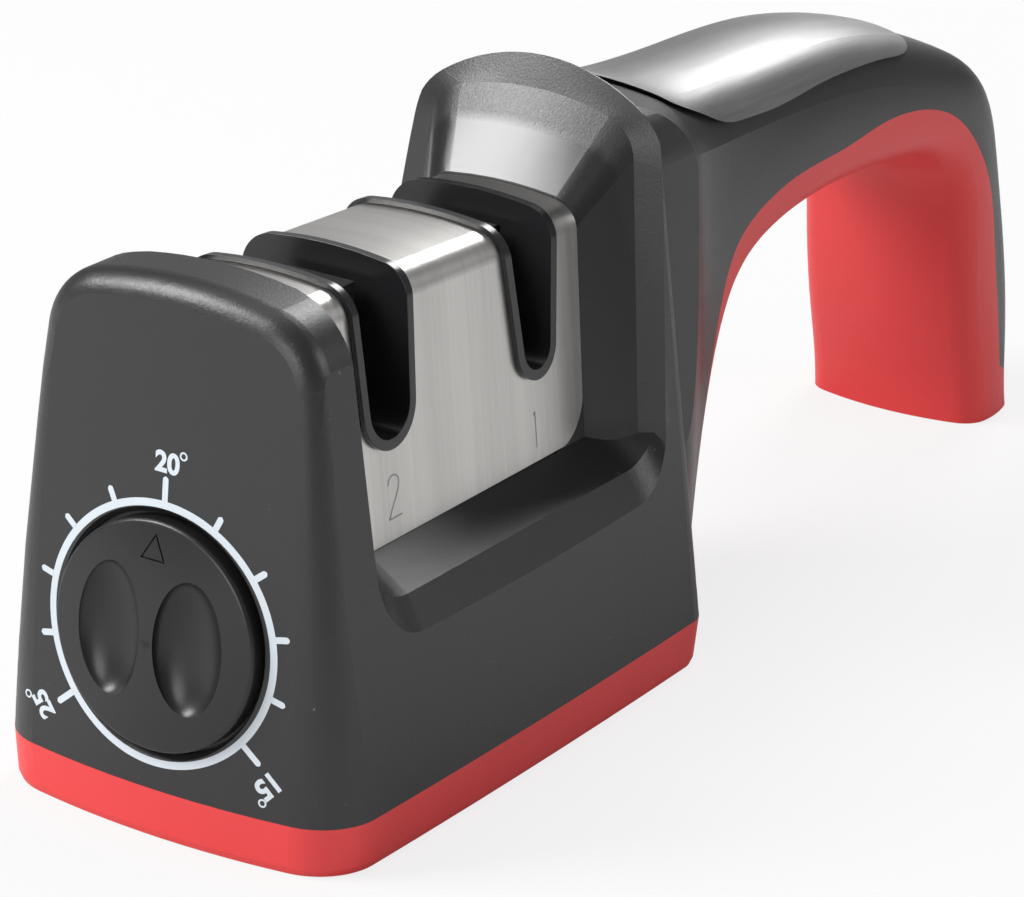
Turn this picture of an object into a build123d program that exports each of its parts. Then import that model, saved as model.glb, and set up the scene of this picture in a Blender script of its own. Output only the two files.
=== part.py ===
from build123d import *
from math import cos, hypot, radians, sin, tan
import os

os.makedirs("parts", exist_ok=True)

# Body block: plan, drafts and the two towers
body_length = 93.3
body_width = 55.0
seam_z = 6.9
side_draft = 6.84
front_lean = 3.25
rear_lean = 5.0
side_bow = 0.6
front_bow = 3.0
rear_bow = 1.0
front_corner_radius = 8.5
rear_corner_radius = 5.0
block_top = 92.0
front_tower_top = 72.4
front_crown_radius = 65.0
front_shoulder_radius = 9.5
front_edge_radius = 3.6
front_wedge_gap = 0.05
rear_tower_top = 82.0
rear_crown_radius = 28.0
rear_shoulder_radius = 9.5
tower_split_x = 50.0
wall = 2.2
overrun = 1.0
edge_reach = 1.0

# Valley between the towers
valley_outer_y = 30.0
valley_inner_y = 11.0
valley_floor_z = 27.0
valley_floor_y = 25.1
valley_floor_rise = 24.5
valley_crease_y = 22.3
valley_band_rise = 58.0
valley_skin_rise = 45.0
valley_front_x = 14.6
valley_front_lean = 5.2
valley_front_drift = 3.2
valley_rear_x = 81.8
valley_rear_lean = 4.3
valley_front_round = 9.0
valley_rear_round = 7.5

# Rim band and neck in front of the rear tower
rim_bevel = 1.6
rim_base_z = 27.0
neck_top = 67.1

# Red tray and feet
foot_proud = 0.15
foot_radius = 4.5
foot_height = 1.6
tray_floor = 2.2
tray_edge_height = 0.9
tray_lip = 1.2
tray_lip_height = 2.0
tray_lip_gap = 0.45
fit_gap = 0.1

rim_edge = 0.3
rim_inner_top = 78.1
rim_inner_half = 24.5
rim_inner_crown = 42.0
rim_inner_shoulder = 6.0
neck_half = 19.4
neck_wall = 2.4
tray_draw = 0.35
tray_edge = 0.3
tray_seat_z = 4.4
foot_front_x = 24.0
foot_rear_x = 70.0
foot_y = 16.5
base_post_top = 31.0
drum_cut_half = 7.0
drum_cut_x = 12.5
plate_thick = 2.0
plate_half = 12.5
plate_rear_x = 72.8
rail_front_x = 32.5
follower_slot = 2.4
follower_slot_half = 1.3
pin_inset = 0.1
cradle_inner_y = 0.25
rod_glue_gap = 0.02
washer_height = 0.8
spring_pitch = 0.7
pointer_line = 0.22
pointer_at = 10.2
foot_rim_z = 2.4
handle_screw_x = (126.0, 157.0)
handle_post_z = 57.5
handle_seat = 5.0
handle_low_share = 0.95
handle_bow_share = 0.16
handle_low_round = 4.6
handle_root = 5.5
handle_flush = 1.0

# Sharpening module under the steel cover
steel_front_x = 11.6
steel_rear_x = 76.9
steel_rear_lean = 2.6
steel_rear_round = 6.5
steel_round_play = 0.35
steel_corner_reach = 0.6
steel_top = 69.9
steel_fall = 2.4
steel_half_base = 19.85
steel_crown_radius = 62.0
steel_shoulder_radius = 4.0
steel_sheet = 0.8
steel_low_z = 34.6
pocket_half = 15.4
pocket_floor_z = 33.0
pocket_front_x = 16.0
pocket_rear_x = 77.4
pocket_floor = 2.0

# Slots, their trims and blade guides
fine_slot_x = 30.2
fine_slot_low = 46.6
fine_slot_radius = 5.8
fine_slot_flare = 4.0
coarse_slot_x = 64.3
coarse_slot_low = 45.9
coarse_slot_radius = 4.6
coarse_slot_flare = 7.0
slot_reach_z = 80.0
trim_flange = 0.4
trim_lip = 1.4
trim_proud = 0.7
blade_gap = 1.6
fine_blade_x = 34.6
coarse_blade_x = 67.9
slit_low_z = 56.5
fine_guide_half = 5.8
coarse_guide_half = 5.4
fine_guide_top = 65.8
coarse_guide_top = 64.4

# Rods, arms and their pins
rod_radius = 1.4
rod_y = 1.7
rod_up = 9.5
rod_down = 4.0
rest_angle = 20.0
angle_travel = 5.0
pivot_z = 53.5
arm_inner_y = 3.1
arm_thick = 1.2
arm_hub_radius = 2.5
arm_tail_radius = 1.5
arm_drop = 13.5
clamp_reach = 3.0
clamp_radius = 2.1
cradle_floor = 1.0
pin_radius = 0.9
tail_pin_radius = 0.8
running_gap = 0.05
moving_gap = 0.3
room_half = 4.7
room_reach = 6.2
room_low_z = 37.4
room_top_z = 63.6

# Slider bars and the cam drum
bar_low_z = 37.6
bar_top_z = 42.0
bar_inner_y = 1.5
bar_outer_y = 2.8
drum_radius = 6.0
drum_front = 7.2
drum_length = 26.0
groove_radius = 1.5
follower_radius = 0.9
follower_depth = 0.8
first_groove = 19.5
second_groove = 27.0
groove_turn = 140.0
dial_turn = 130.7
lug_half = 1.6
follower_root = 1.0
channel_spare = 1.0
drum_spare = 1.0

# Knob and dial
knob_axis_z = 27.39
knob_radius = 15.0
knob_rim_proud = 1.1
knob_dome = 1.6
knob_edge = 0.5
recess_radius = 15.5
recess_mouth = 0.8
recess_depth = 1.8
knob_back_gap = 0.2
stem_radius = 4.0
boss_radius = 18.0
boss_depth = 3.9
hub_radius = 7.0
hub_depth = 7.0
core_radius = 2.8
dimple_long = 8.9
dimple_short = 5.0
dimple_spread = 6.0
dimple_depth = 2.7
pointer_height = 3.4
pointer_width = 3.8
pointer_depth = 0.3
detent_radius = 1.25
detent_at = 10.5
detent_dip = 0.5
detent_steps = 5
detent_pitch = 26.15
spring_wire = 0.25
spring_radius = 0.8
spring_length = 1.7
washer_radius = 5.0

# Screws
screw_radius = 1.5
screw_head_radius = 2.8
screw_head_height = 1.8
boss_outer = 3.4
base_screw_length = 12.0
module_screw_length = 8.0
handle_screw_length = 13.0
pilot_spare = 1.0
base_screw_x = (13.0, 82.0)
base_screw_y = 17.5
module_screw_x = (24.0, 50.0)
module_screw_y = 9.5

# Handle: a row of sections, written as shares of its length and height
handle_length = 126.4
handle_height = 80.9
handle_front_x = 84.0
handle_half = 14.5
shell_wall = 2.4
plate_sheet = 0.6
plate_gap = 0.03
foot_pad_height = 1.4
foot_pad_x = 200.8
foot_pad_length = 11.0
foot_pad_width = 23.0
foot_pad_round = 4.0


def half_width(z):
    return body_width / 2 - tan(radians(side_draft)) * (z - seam_z)


def front_x(z):
    return z * tan(radians(front_lean))


def rear_x(z):
    return body_length - z * tan(radians(rear_lean))


# The block's plan at five heights: the height above the seam as a share of the whole, then the shares
# of the front bow, of the front and rear corner radii, and of the side bow
plan_shares = [
    (0.00, 1.00, 1.00, 1.00, 1.00),
    (0.13, 0.70, 0.78, 0.92, 0.88),
    (0.30, 0.44, 0.56, 0.80, 0.72),
    (0.51, 0.28, 0.40, 0.64, 0.53),
    (1.00, 0.10, 0.12, 0.32, 0.05),
]


# A plan outline of the block at one height, its four sides bowed outwards
def plan_face(z, inset=0, shares=plan_shares[0][1:]):
    front_share, front_corner_share, rear_corner_share, side_share = shares
    wide = half_width(z) - inset
    end = wide - side_bow * side_share
    front = front_x(z) + inset
    rear = rear_x(z) - inset
    mid = (front + rear) / 2
    front_end = front + front_bow * front_share
    rear_end = rear - rear_bow
    edges = [
        ThreePointArc((front_end, -end, z), (front, 0, z), (front_end, end, z)),
        ThreePointArc((front_end, end, z), (mid, wide, z), (rear_end, end, z)),
        ThreePointArc((rear_end, end, z), (rear, 0, z), (rear_end, -end, z)),
        ThreePointArc((rear_end, -end, z), (mid, -wide, z), (front_end, -end, z)),
    ]
    face = make_face(edges).face()
    corners = face.vertices().sort_by(Axis.X)
    face = face.fillet_2d(front_corner_radius * front_corner_share, corners[:2])
    corners = face.vertices().sort_by(Axis.X)
    corners = [v for v in corners if abs(v.X - rear_end) < edge_reach and abs(v.Y) > end / 2]
    return face.fillet_2d(rear_corner_radius * rear_corner_share, corners)


# The block above the seam, or the room inside its walls
def block(inset=0):
    rise = block_top - seam_z
    return loft([plan_face(seam_z + row[0] * rise, inset, row[1:]) for row in plan_shares], ruled=True)


# The front face's bow in the upper part of the block, carried on downwards
def upper_bow(z):
    (low_share, low_bow), (high_share, high_bow) = [row[:2] for row in plan_shares[-2:]]
    share = (z - seam_z) / (block_top - seam_z)
    return front_bow * (low_bow + (high_bow - low_bow) * (share - low_share) / (high_share - low_share))


# A crowned section with drafted sides, in the YZ plane
def crown_profile(top, half_at_zero, crown_radius, shoulder_radius, low, inset=0):
    slope = tan(radians(side_draft))
    foot = half_at_zero - inset / cos(radians(side_draft))
    sides = Polygon(
        (-foot + slope * low, low),
        (foot - slope * low, low),
        (foot - slope * block_top, block_top),
        (-foot + slope * block_top, block_top),
        align=None,
    )
    centre_z = top - crown_radius
    disc = Pos(0, centre_z) * Circle(crown_radius - inset)
    far = body_width
    below = Polygon((-far, 0), (far, 0), (far, centre_z), (-far, centre_z), align=None)
    profile = sides & (disc + below)
    corners = profile.vertices().sort_by(Axis.Y)[-2:]
    return fillet(corners, shoulder_radius - inset)


def prism_along_x(profile, start, end, fall=0):
    run = (end - start) / cos(radians(fall))
    slope = (cos(radians(fall)), 0, -sin(radians(fall)))
    return extrude(Plane.YZ.offset(start) * profile, amount=run, dir=slope)


# An upright outline in the XZ plane at one Y, with chosen corners rounded
def upright_face(points, y=0, rounds=()):
    face = make_face(Polyline(*[(x, y, z) for x, z in points], close=True)).face()
    for x, z, radius in rounds:
        corner = face.vertices().sort_by_distance((x, y, z))[0]
        face = face.fillet_2d(radius, [corner])
    return face


def across(points, half, rounds=()):
    return extrude(upright_face(points, -half, rounds), amount=2 * half, dir=(0, 1, 0))


def rod_between(start, end, radius):
    line = Vector(*end) - Vector(*start)
    plane = Plane(origin=start, z_dir=line)
    return extrude(plane * Circle(radius), amount=line.length)


def box_between(low, high):
    size = [b - a for a, b in zip(low, high)]
    return Pos(*low) * Box(*size, align=(Align.MIN, Align.MIN, Align.MIN))


# The height of the valley's floor at one distance from the middle: steep outside the crease, gentler inside
def valley_floor(y):
    band = tan(radians(valley_band_rise))
    crease_z = valley_floor_z + (valley_floor_y - valley_crease_y) * band
    if y >= valley_crease_y:
        return valley_floor_z + (valley_floor_y - y) * band
    return crease_z + (valley_crease_y - y) * tan(radians(valley_floor_rise))


# The outline of the valley at one distance from the middle
def valley_face(y, side, grow=0):
    inward = (valley_floor_y - y) / (valley_floor_y - valley_inner_y)
    floor = valley_floor(y) - grow / cos(radians(valley_skin_rise))
    rise = block_top - floor
    front = valley_front_x + valley_front_drift * inward - grow
    rear = valley_rear_x + grow
    front = front - (floor - valley_floor_z) * tan(radians(valley_front_lean))
    rear = rear + (floor - valley_floor_z) * tan(radians(valley_rear_lean))
    front_top = front - rise * tan(radians(valley_front_lean))
    rear_top = rear + rise * tan(radians(valley_rear_lean))
    points = [(front_top, block_top), (front, floor), (rear, floor), (rear_top, block_top)]
    rounds = [(front, floor, valley_front_round - grow), (rear, floor, valley_rear_round - grow)]
    return upright_face(points, side * y, rounds)


def valley(grow=0):
    stations = (valley_outer_y, valley_crease_y, valley_inner_y)
    outer, crease, inner = [valley_face(y, -1, grow) for y in stations]
    near = loft([outer, crease], ruled=True) + loft([crease, inner], ruled=True)
    middle = extrude(inner, amount=2 * valley_inner_y, dir=(0, 1, 0))
    return near + mirror(near, Plane.XZ) + middle


# A wide slab whose front lies just before the upper part of the bowed, leaning front face
def front_wedge(inset=0):
    faces = []
    for z in (0, block_top):
        front = front_x(z) + inset - front_wedge_gap
        side = front + upper_bow(z)
        arc = ThreePointArc((side, -half_width(z), z), (front, 0, z), (side, half_width(z), z))
        back = [(side, half_width(z), z), (body_length, body_width, z), (body_length, -body_width, z)]
        rest = Polyline(*back, (side, -half_width(z), z))
        faces.append(make_face([arc] + list(rest.edges())).face())
    return loft(faces, ruled=True)


def front_profile_at(low, inset=0):
    return crown_profile(
        front_tower_top, half_width(0), front_crown_radius, front_shoulder_radius, low, inset
    )


def rear_profile_at(low, inset=0):
    return crown_profile(
        rear_tower_top, half_width(0), rear_crown_radius, rear_shoulder_radius, low, inset
    )


# The two towers' common block, crowned and rounded
def crowned_block(inset=0):
    body = block(inset)
    front_profile = front_profile_at(seam_z, inset)
    rear_profile = rear_profile_at(seam_z, inset)
    cap = prism_along_x(front_profile, -body_length, tower_split_x) & front_wedge(inset)
    if inset == 0:
        edges = [e for e in cap.edges() if e.center().X < valley_front_x]
        edges = [e for e in edges if e.center().Z > seam_z + edge_reach]
        cap = fillet(edges, front_edge_radius)
    front = body & cap
    rear = body & prism_along_x(rear_profile, tower_split_x, 2 * body_length)
    return front, rear


# Rim band and neck, from the rear tower down to the steel cover
def leaning_plane(x, lean):
    slope = (cos(radians(lean)), 0, -sin(radians(lean)))
    return Plane(origin=(x, 0, 0), x_dir=(0, 1, 0), z_dir=slope)


def rim_and_neck(inset=0):
    rear_foot_x = valley_rear_x - valley_floor_z * tan(radians(valley_rear_lean))
    steel_foot_x = steel_rear_x - steel_top * tan(radians(steel_rear_lean))
    rear_plane = leaning_plane(rear_foot_x, valley_rear_lean)
    steel_plane = leaning_plane(steel_foot_x, steel_rear_lean)
    low = rim_base_z
    rim = rear_profile_at(low, inset - rim_edge)
    inner = crown_profile(rim_inner_top, rim_inner_half, rim_inner_crown, rim_inner_shoulder, low, inset)
    front = crown_profile(neck_top, neck_half, steel_crown_radius, steel_shoulder_radius, low, inset)
    back_face = rear_plane * rim
    inner_face = rear_plane.offset(-rim_bevel) * inner
    band = loft([back_face.face(), inner_face.face()], ruled=True) + extrude(back_face, amount=overrun)
    front_face = steel_plane.offset(inset) * front
    neck = loft([inner_face.face(), front_face.face()], ruled=True)
    return band + neck


# Handle sections, each in a plane through an outer and an inner point
handle_shares = [
    (0.000, 0.992, 0.036, 0.100, 1.630, 1.00),
    (0.071, 0.957, 0.106, 0.112, 1.430, 0.80),
    (0.112, 0.942, 0.154, 0.212, 1.220, 0.55),
    (0.150, 0.924, 0.193, 0.360, 1.100, 0.30),
    (0.229, 0.911, 0.242, 0.518, 1.030, 0.00),
    (0.316, 0.904, 0.303, 0.590, 1.000, 0.00),
    (0.427, 0.899, 0.423, 0.634, 1.000, 0.00),
    (0.538, 0.886, 0.517, 0.641, 1.007, 0.05),
    (0.665, 0.848, 0.620, 0.632, 1.015, 0.25),
    (0.786, 0.786, 0.708, 0.610, 1.020, 0.55),
    (0.876, 0.705, 0.766, 0.566, 1.025, 0.75),
    (0.926, 0.536, 0.804, 0.480, 1.030, 0.85),
    (0.960, 0.358, 0.820, 0.340, 1.035, 0.85),
    (0.984, 0.173, 0.844, 0.173, 1.040, 0.85),
    (1.001, 0.000, 0.870, 0.000, 1.040, 0.85),
    (1.006, -0.12, 0.880, -0.12, 1.040, 0.85),
]
slim_shares = (0.55, 0.083, 0.78, 0.262, 0.92, 0.503)
broad_shares = (0.60, 0.050, 0.88, 0.200, 0.98, 0.450)
split_shares = [
    (0.162, 0.300), (0.184, 0.382), (0.203, 0.492), (0.216, 0.560), (0.244, 0.629),
    (0.295, 0.671), (0.382, 0.701), (0.497, 0.711), (0.567, 0.722), (0.615, 0.722),
    (0.665, 0.713), (0.708, 0.697), (0.746, 0.674), (0.786, 0.634), (0.819, 0.586),
    (0.847, 0.530), (0.868, 0.466), (0.888, 0.346), (0.908, 0.224), (0.927, 0.100),
]
plate_shares = [
    (0.062, 1.045), (0.075, 0.990), (0.110, 0.940), (0.155, 0.902), (0.188, 0.879),
    (0.223, 0.854), (0.275, 0.842), (0.332, 0.837), (0.449, 0.841), (0.542, 0.836),
    (0.600, 0.828), (0.645, 0.819), (0.680, 0.822), (0.708, 0.845), (0.725, 0.900),
]


def on_handle(share):
    return (handle_front_x + share[0] * handle_length, share[1] * handle_height)


def handle_section(row, inset=0):
    outer_x, outer_z = on_handle(row[:2])
    inner_x, inner_z = on_handle(row[2:4])
    rise = hypot(outer_x - inner_x, outer_z - inner_z)
    plane = Plane(
        origin=(inner_x, 0, inner_z),
        x_dir=(0, 1, 0),
        z_dir=(outer_z - inner_z, 0, inner_x - outer_x),
    )
    half = handle_half * row[4] - inset
    top = rise - inset
    mixed = [a + (b - a) * row[5] for a, b in zip(slim_shares, broad_shares)]
    crown_y, crown_drop, bend_y, bend_drop, side_y, side_drop = [m * half for m in mixed]
    side_v = top - side_drop
    low_y = half * handle_low_share
    bow = half * handle_bow_share
    edges = [
        ThreePointArc((-low_y, inset), (0, inset - bow), (low_y, inset)),
        ThreePointArc((low_y, inset), (half, (side_v + inset) / 2), (side_y, side_v)),
        ThreePointArc((side_y, side_v), (bend_y, top - bend_drop), (crown_y, top - crown_drop)),
        ThreePointArc((crown_y, top - crown_drop), (0, top), (-crown_y, top - crown_drop)),
        ThreePointArc((-crown_y, top - crown_drop), (-bend_y, top - bend_drop), (-side_y, side_v)),
        ThreePointArc((-side_y, side_v), (-half, (side_v + inset) / 2), (-low_y, inset)),
    ]
    face = make_face(edges).face()
    corners = [v for v in face.vertices() if v.Y < inset + edge_reach / 2]
    return (plane * face.fillet_2d(handle_low_round - inset / 2, corners)).face()


# The whole handle, or its room: it starts inside the rear tower, within that tower's crown and sides
def handle_solid(inset=0, low=0):
    whole = loft([handle_section(row, inset) for row in handle_shares])
    far_x = 2 * handle_length
    high = 2 * handle_height
    points = [(rear_x(low) - handle_root, low), (far_x, low), (far_x, high), (rear_x(high) - handle_root, high)]
    within = prism_along_x(rear_profile_at(low, inset + handle_flush), 0, far_x)
    return whole & across(points, body_width) & within


# The side of the red and black parting line that faces the opening
def liner_region():
    points = [(x, 0, z) for x, z in map(on_handle, split_shares)]
    line = Spline(*points)
    last = line @ 1
    first = line @ 0
    outer_x = handle_front_x + handle_length + wall
    rest = Polyline(
        last,
        (outer_x, 0, foot_rim_z),
        (outer_x, 0, -handle_half),
        (first.X + handle_half, 0, -handle_half),
        (first.X + wall, 0, first.Z - wall),
        first,
    )
    face = make_face([line] + list(rest.edges())).face()
    return extrude(Pos(0, -body_width / 2, 0) * face, amount=body_width, dir=(0, 1, 0))


def plate_region():
    line = Spline(*[(x, 0, z) for x, z in map(on_handle, plate_shares)])
    last = line @ 1
    first = line @ 0
    rest = Polyline(last, (last.X, 0, block_top), (first.X, 0, block_top), first)
    face = make_face([line] + list(rest.edges())).face()
    return extrude(Pos(0, -body_width / 2, 0) * face, amount=body_width, dir=(0, 1, 0))


def handle_room():
    return handle_solid(shell_wall, foot_rim_z + wall)


# The dial's own frame: centre on the face, outward along its Z
def dial_plane():
    lean = radians(front_lean)
    return Plane(
        origin=(front_x(knob_axis_z), 0, knob_axis_z),
        x_dir=(0, -1, 0),
        z_dir=(-cos(lean), 0, sin(lean)),
    )


def dial_tube(radius, start_depth, end_depth, at=(0, 0)):
    disc = dial_plane().offset(-end_depth) * Pos(*at) * Circle(radius)
    return extrude(disc, amount=end_depth - start_depth)


# The bevel round the mouth of the dial's recess
def recess_cone():
    outer = dial_plane().offset(overrun) * Circle(recess_radius + recess_mouth + overrun)
    inner = dial_plane().offset(-recess_mouth) * Circle(recess_radius)
    return loft([outer.face(), inner.face()])


def detent_place():
    return (0, -detent_at)


# The steel cover's outer form, grown or shrunk
def steel_form(grow=0):
    profile = crown_profile(steel_top, steel_half_base, steel_crown_radius, steel_shoulder_radius, 0, -grow)
    return prism_along_x(profile, 0, body_length, steel_fall)


def slot_outline(slot, inset=0):
    x, low, radius, flare = slot
    bend = radians(flare)
    small = radius - inset
    centre_z = low + radius
    tangent_x = small * cos(bend)
    tangent_z = centre_z - small * sin(bend)
    top_x = tangent_x + (slot_reach_z - tangent_z) * tan(bend)
    edges = [
        ThreePointArc((x - tangent_x, 0, tangent_z), (x, 0, centre_z - small), (x + tangent_x, 0, tangent_z)),
        Line((x + tangent_x, 0, tangent_z), (x + top_x, 0, slot_reach_z)),
        Line((x + top_x, 0, slot_reach_z), (x - top_x, 0, slot_reach_z)),
        Line((x - top_x, 0, slot_reach_z), (x - tangent_x, 0, tangent_z)),
    ]
    return make_face(edges).face()


def slot_cut(slot, inset=0, half=None):
    reach = body_width if half is None else half
    return extrude(Pos(0, -reach, 0) * slot_outline(slot, inset), amount=2 * reach, dir=(0, 1, 0))


fine_slot = (fine_slot_x, fine_slot_low, fine_slot_radius, fine_slot_flare)
coarse_slot = (coarse_slot_x, coarse_slot_low, coarse_slot_radius, coarse_slot_flare)


def rod_room(blade_x):
    low = (blade_x - room_reach, -room_half, room_low_z)
    return box_between(low, (blade_x + room_reach, room_half, room_top_z))


def steel_rear_cut(gap=0):
    foot_x = steel_rear_x - gap - steel_top * tan(radians(steel_rear_lean))
    head_x = foot_x + block_top * tan(radians(steel_rear_lean))
    points = [(-body_width, 0), (foot_x, 0), (head_x, block_top), (-body_width, block_top)]
    return across(points, body_width)


# The steel's lower rear corner, outside its rounding: black there, and flush with the sheet
def steel_corner(radius, reach=0):
    foot_x = steel_rear_x - (steel_top - steel_low_z) * tan(radians(steel_rear_lean))
    head_x = foot_x + (block_top - steel_low_z) * tan(radians(steel_rear_lean))
    points = [(0, steel_low_z), (foot_x, steel_low_z), (head_x, block_top), (0, block_top)]
    rounded = across(points, body_width, [(foot_x, steel_low_z, radius)])
    low = (foot_x - steel_rear_round, -body_width, steel_low_z - reach)
    high = (foot_x + reach, body_width, steel_low_z + steel_rear_round)
    return box_between(low, high) - rounded


def steel_cover():
    sheet = steel_form() - steel_form(-steel_sheet)
    sheet = sheet & valley(-fit_gap) & steel_rear_cut(fit_gap)
    sheet = sheet - steel_corner(steel_rear_round + steel_round_play, 2 * steel_corner_reach)
    for slot in (fine_slot, coarse_slot):
        sheet = sheet - slot_cut(slot, trim_flange)
    return sheet


def slot_trim(slot, blade_x):
    flange = (steel_form(trim_proud) - steel_form(plate_gap)) & slot_cut(slot)
    inner = steel_form(plate_gap) & slot_cut(slot, trim_flange + fit_gap / 2)
    low = box_between((0, -body_width, fine_slot_low / 2), (body_length, body_width, block_top))
    trim = (flange + (inner & low)) - slot_cut(slot, trim_lip)
    pins = pivot_pin_pair(blade_x, running_gap)
    return trim - rod_room(blade_x) - pins


def blade_guide(slot, blade_x, guide_half, guide_top):
    block_form = slot_cut(slot, trim_lip + fit_gap / 2, guide_half)
    block_form = block_form & box_between((0, -body_width, 0), (body_length, body_width, guide_top))
    slit_low = (blade_x - blade_gap / 2, -body_width, slit_low_z)
    slit = box_between(slit_low, (body_length, body_width, block_top))
    return block_form - slit - rod_room(blade_x) - pivot_pin_pair(blade_x, running_gap)


def pivot_pin_pair(blade_x, gap=0):
    pins = Part()
    for side in (-1, 1):
        start = (blade_x, side * (arm_inner_y + pin_inset), pivot_z)
        end = (blade_x, side * (fine_guide_half - fit_gap), pivot_z)
        pins += rod_between(start, end, pin_radius + gap)
    return pins


# Where the two followers stand, measured along the dial's axis
def follower_x(depth):
    return front_x(knob_axis_z) + depth * cos(radians(front_lean))


def drum_top_z(depth):
    return knob_axis_z - depth * sin(radians(front_lean)) + drum_radius


def module_front_line(gap):
    front = valley_front_x + valley_front_drift + gap
    foot_x = front + valley_floor_z * tan(radians(valley_front_lean))
    head_x = foot_x - block_top * tan(radians(valley_front_lean))
    points = [(foot_x, 0), (body_length, 0), (body_length, block_top), (head_x, block_top)]
    return across(points, body_width)


def module_body():
    core = steel_form(-steel_sheet - fit_gap) & steel_rear_cut(2 * fit_gap)
    core = core & module_front_line(2 * fit_gap)
    low = pocket_floor_z + plate_thick + fit_gap
    core = core & box_between((0, -pocket_half, low), (body_length, pocket_half, block_top))
    for slot, blade_x in ((fine_slot, fine_blade_x), (coarse_slot, coarse_blade_x)):
        core = core - slot_cut(slot, trim_flange) - rod_room(blade_x) - pivot_pin_pair(blade_x, running_gap)
    channel_high = (coarse_blade_x + room_reach, room_half, bar_top_z + channel_spare)
    core = core - box_between((0, -room_half, 0), channel_high)
    hole_top = pocket_floor_z - pocket_floor + module_screw_length
    for x, y in module_screw_places():
        core = core - rod_between((x, y, 0), (x, y, hole_top), screw_radius)
    return core


def module_screw_places():
    return [(x, side * module_screw_y) for x in module_screw_x for side in (-1, 1)]


def module_base_plate():
    low = (pocket_front_x + fit_gap, -plate_half, pocket_floor_z + fit_gap)
    high = (plate_rear_x, plate_half, pocket_floor_z + plate_thick)
    plate = box_between(low, high)
    for side in (-1, 1):
        y_low, y_high = sorted((side * (bar_inner_y - fit_gap), side * (bar_outer_y + fit_gap)))
        rail_low = (rail_front_x, y_low, pocket_floor_z + fit_gap)
        plate += box_between(rail_low, (plate_rear_x, y_high, bar_low_z - fit_gap))
    slot_low = (follower_x(first_groove) - follower_slot, -follower_slot_half, 0)
    slot_high = (follower_x(second_groove) + follower_slot, follower_slot_half, block_top)
    plate = plate - box_between(slot_low, slot_high)
    for x, y in module_screw_places():
        plate = plate - rod_between((x, y, 0), (x, y, block_top), screw_radius + fit_gap)
    return plate


# The bar of one side, with its lug and follower
def slider_bar(side, groove_depth):
    x = follower_x(groove_depth)
    y_low, y_high = sorted((side * bar_inner_y, side * bar_outer_y))
    bar = box_between((x - lug_half, y_low, bar_low_z), (coarse_blade_x + lug_half, y_high, bar_top_z))
    lug_low, lug_high = sorted((-side * follower_radius, side * bar_outer_y))
    bar += box_between((x - lug_half, lug_low, bar_low_z), (x + lug_half, lug_high, bar_top_z))
    pin_end = (x, 0, drum_top_z(groove_depth) - follower_depth)
    bar += rod_between((x, 0, bar_low_z + follower_root), pin_end, follower_radius)
    for blade_x in (fine_blade_x, coarse_blade_x):
        notch = tail_pin_radius + running_gap
        low = (blade_x - notch, -bar_top_z, pivot_z - arm_drop - tail_pin_radius - moving_gap)
        bar = bar - box_between(low, (blade_x + notch, bar_top_z, block_top))
    return bar


# Points along a rod's own axis, from the pivot upwards
def rod_point(side, blade_x, along):
    lean = side * radians(rest_angle)
    return (blade_x + along * sin(lean), side * rod_y, pivot_z + along * cos(lean))


def rod(side, blade_x, gap=0):
    foot = rod_point(side, blade_x, -rod_down - gap)
    return rod_between(foot, rod_point(side, blade_x, rod_up), rod_radius + gap)


def upright_disc(x, z, radius, y):
    return Plane(origin=(x, y, z), x_dir=(1, 0, 0), z_dir=(0, 1, 0)) * Circle(radius)


def arm_web(first, second, low, high):
    discs = [upright_disc(x, z, r, low) for x, z, r in (first, second)]
    edges = [e for d in discs for e in d.edges()]
    local = Plane(origin=(0, low, 0), x_dir=(1, 0, 0), z_dir=(0, 1, 0))
    flat = [local.to_local_coords(e) for e in edges]
    return extrude(local * make_hull(flat), amount=high - low)


def arm(side, blade_x):
    low = arm_inner_y
    high = arm_inner_y + arm_thick
    clamp = rod_point(side, blade_x, -clamp_reach)
    hub = (blade_x, pivot_z, arm_hub_radius)
    tail = (blade_x, pivot_z - arm_drop, arm_tail_radius)
    plate = arm_web(hub, tail, low, high) + arm_web(hub, (clamp[0], clamp[2], clamp_radius), low, high)
    if side < 0:
        plate = mirror(plate, Plane.XZ)
    cradle_start = rod_point(side, blade_x, -rod_down - cradle_floor)
    cradle_end = rod_point(side, blade_x, -rod_down / 3)
    cradle = rod_between(cradle_start, cradle_end, clamp_radius)
    y_low, y_high = sorted((side * cradle_inner_y, side * (arm_inner_y + arm_thick / 2)))
    cradle = cradle & box_between((0, y_low, 0), (body_length, y_high, block_top))
    tail_start = (blade_x, side * (arm_inner_y + arm_thick / 2), pivot_z - arm_drop)
    tail_end = (blade_x, side * (bar_inner_y + fit_gap), pivot_z - arm_drop)
    whole = plate + cradle + rod_between(tail_start, tail_end, tail_pin_radius)
    hole_start = (blade_x, side * (arm_inner_y - fit_gap), pivot_z)
    hole = rod_between(hole_start, (blade_x, side * body_width, pivot_z), pin_radius + running_gap)
    return whole - hole - rod(side, blade_x, rod_glue_gap)


# The drum with its two opposite grooves
def groove(depth, left_hand):
    lead = arm_travel() * 2 * 360 / (2 * dial_turn)
    height = lead * 2 * groove_turn / 360
    path = Helix(pitch=lead, height=height, radius=drum_radius, lefthand=left_hand)
    start = path @ 0
    ring = Plane(origin=start, z_dir=path % 0) * Circle(groove_radius)
    cut = sweep(ring, path=path)
    turn = 90 + groove_turn if left_hand else 90 - groove_turn
    return dial_plane() * Pos(0, 0, -depth - height / 2) * Rot(0, 0, turn) * cut


def arm_travel():
    return arm_drop * radians(angle_travel)


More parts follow.
